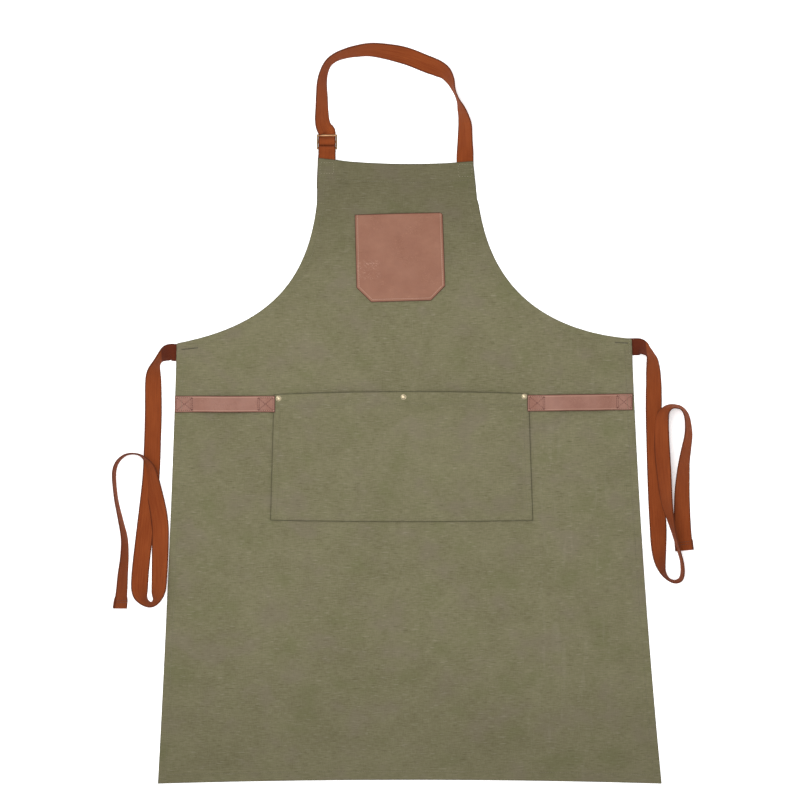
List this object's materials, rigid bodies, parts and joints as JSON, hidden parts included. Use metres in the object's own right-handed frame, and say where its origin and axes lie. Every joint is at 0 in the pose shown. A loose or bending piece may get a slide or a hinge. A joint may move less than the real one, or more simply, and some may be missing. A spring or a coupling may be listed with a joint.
{
  "type": "bib apron",
  "caption": "Canvas bib apron lying flat, with an adjustable webbing neck loop, a leather chest pocket, a wide front pocket, leather towel loops and waist ties.",
  "frame": {"origin": "middle of the underside of the apron without its waist ties, on the surface it lies on", "axes": "+X across the apron, to the right as its front is looked at; +Y from the bottom hem to the neck loop; +Z out of the front"},
  "size_m": [0.8075, 1.0302, 0.0253],
  "materials": {
    "canvas": "matte olive-khaki cotton canvas with slubs",
    "leather": "smooth rosy tan leather with a soft sheen",
    "webbing": "rust brown ribbed cotton webbing",
    "rivet_brass": "pale satin brass",
    "slider_brass": "antique brass, worn bright on the edges"
  },
  "bodies": {
    "apron": {"body_panel": "canvas", "armhole_tape_left": "canvas", "armhole_tape_right": "canvas", "front_pocket": "canvas", "chest_pocket": "leather", "towel_loop_left": "leather", "towel_loop_right": "leather", "rivet_cap_left": "rivet_brass", "rivet_cap_middle": "rivet_brass", "rivet_cap_right": "rivet_brass", "rivet_back_left": "rivet_brass", "rivet_back_middle": "rivet_brass", "rivet_back_right": "rivet_brass", "neck_strap_sewn_end": "webbing", "neck_strap_tail": "webbing", "anchor_loop_sewn_end": "webbing", "waist_tie_left": "webbing", "waist_tie_left_sewn_end": "webbing", "waist_tie_right": "webbing", "waist_tie_right_sewn_end": "webbing"},
    "neck_loop": {"neck_strap": "webbing", "anchor_loop": "webbing"},
    "slider": {"slider": "slider_brass", "neck_strap_bend": "webbing"}
  },
  "joints": [
    {"name": "neck_loop_fold", "type": "hinge", "parent": "apron", "child": "neck_loop", "pos_m": [-0.1153, 0.3606, 0.0049], "axis": [0.9998, -0.0218, 0], "range_deg": [0, 135]},
    {"name": "slider_tilt", "type": "hinge", "parent": "neck_loop", "child": "slider", "pos_m": [-0.1153, 0.3689, 0.005], "axis": [1, 0, 0], "range_deg": [0, 30]}
  ]
}
